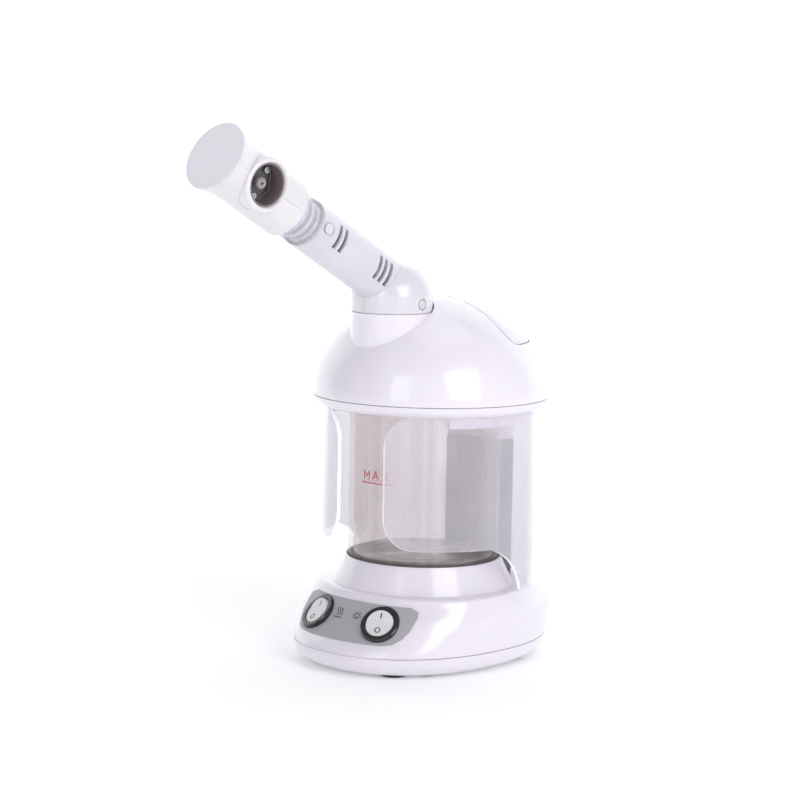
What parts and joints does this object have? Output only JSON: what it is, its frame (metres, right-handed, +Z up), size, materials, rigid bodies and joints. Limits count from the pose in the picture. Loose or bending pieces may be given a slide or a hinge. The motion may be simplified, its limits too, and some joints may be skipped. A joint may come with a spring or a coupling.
{
  "type": "facial steamer",
  "caption": "Table-top facial steamer: glass water vessel on a heated base, domed lid with clear guard, swivelling inclined arm and rotating steam head.",
  "frame": {"origin": "dome axis where it meets the table plane", "axes": "+Z up; -Y is the front, the way the arm points at rest; +X to the right seen from behind the control panel looking along +Y"},
  "size_m": [0.1376, 0.2591, 0.3095],
  "materials": {
    "white_shell": "satin white moulding",
    "frosted_arm": "frosted translucent moulding",
    "clear_shield": "translucent white polycarbonate",
    "smoke_glass": "clear heat-resistant glass",
    "grey_overlay": "printed polyester overlay",
    "black_plastic": "gloss black",
    "rocker_grey": "light grey",
    "end_lavender": "pale lavender grey",
    "grey_plastic": "mid grey",
    "white_plastic": "satin",
    "steel": "brushed stainless",
    "chrome_screw": "bright",
    "zinc_screw": "zinc plated",
    "brass": "bare",
    "rubber_black": "matt",
    "silicone": "translucent white silicone",
    "lamp_glass": "clear quartz",
    "board_green": "solder resist",
    "core_dark": "laminated core",
    "copper_lead": "insulated leads"
  },
  "bodies": {
    "base": {"base_pan": "white_shell", "rubber_feet": "rubber_black", "base_housing": "white_shell", "base_screws": "zinc_screw", "control_panel": "grey_overlay", "hot_switch_body": "black_plastic", "ozone_switch_body": "black_plastic", "switch_terminals": "brass", "glass_vessel": "smoke_glass", "heater_plate": "steel", "heating_element": "steel", "vessel_seal": "rubber_black", "heater_bracket": "steel", "plate_screws": "zinc_screw", "thermostat": "grey_plastic", "thermal_fuse": "grey_plastic", "ballast_board": "board_green", "ballast_transformer": "core_dark", "power_inlet": "black_plastic", "inlet_pins": "brass", "inlet_screws": "zinc_screw", "contact_column": "grey_plastic", "column_sockets": "brass", "wiring": "copper_lead"},
    "hot_rocker": {"hot_rocker": "rocker_grey"},
    "ozone_rocker": {"ozone_rocker": "rocker_grey"},
    "lid": {"dome_cover": "white_shell", "lid_grip": "white_shell", "lid_ring": "white_shell", "safety_shield": "clear_shield", "inner_cover": "white_plastic", "lid_gasket": "silicone", "steam_duct": "silicone", "swivel_seat": "white_plastic", "swivel_seal": "silicone", "ozone_lamp": "lamp_glass", "lamp_holder": "white_plastic", "lamp_bracket": "steel", "contact_plug": "white_plastic", "contact_pins": "brass", "lid_screws": "zinc_screw", "lid_small_screws": "zinc_screw", "lamp_wires": "copper_lead"},
    "arm": {"elbow_right": "white_shell", "elbow_left": "white_shell", "arm_tube": "frosted_arm", "steam_pipe": "steel", "swivel_collar": "white_plastic", "arm_screws": "zinc_screw", "pipe_seal": "silicone"},
    "head": {"head_shell_upper": "white_shell", "head_shell_lower": "white_shell", "end_cap": "end_lavender", "port_bezel": "white_shell", "nozzle_body": "black_plastic", "nozzle_plate": "black_plastic", "nozzle_tip": "grey_plastic", "nozzle_screws": "chrome_screw", "head_spigot": "white_plastic", "spigot_seals": "silicone"}
  },
  "joints": [
    {"name": "lid_lift", "type": "slide", "parent": "base", "child": "lid", "axis": [0, 0, 1], "range_m": [0, 0.12]},
    {"name": "arm_swivel", "type": "hinge", "parent": "lid", "child": "arm", "pos_m": [0, -0.03492, 0.2076], "axis": [0, 0, 1], "continuous": true},
    {"name": "head_swivel", "type": "hinge", "parent": "arm", "child": "head", "pos_m": [0, -0.03492, 0.21655], "axis": [0, -0.8797, 0.4755], "continuous": true},
    {"name": "hot_rocker_press", "type": "hinge", "parent": "base", "child": "hot_rocker", "pos_m": [-0.02388, -0.06615, 0.02966], "axis": [-0.9483, 0.3173, 0], "range_deg": [0, 14]},
    {"name": "ozone_rocker_press", "type": "hinge", "parent": "base", "child": "ozone_rocker", "pos_m": [0.02388, -0.06615, 0.02966], "axis": [-0.9483, -0.3173, 0], "range_deg": [0, 14]}
  ]
}
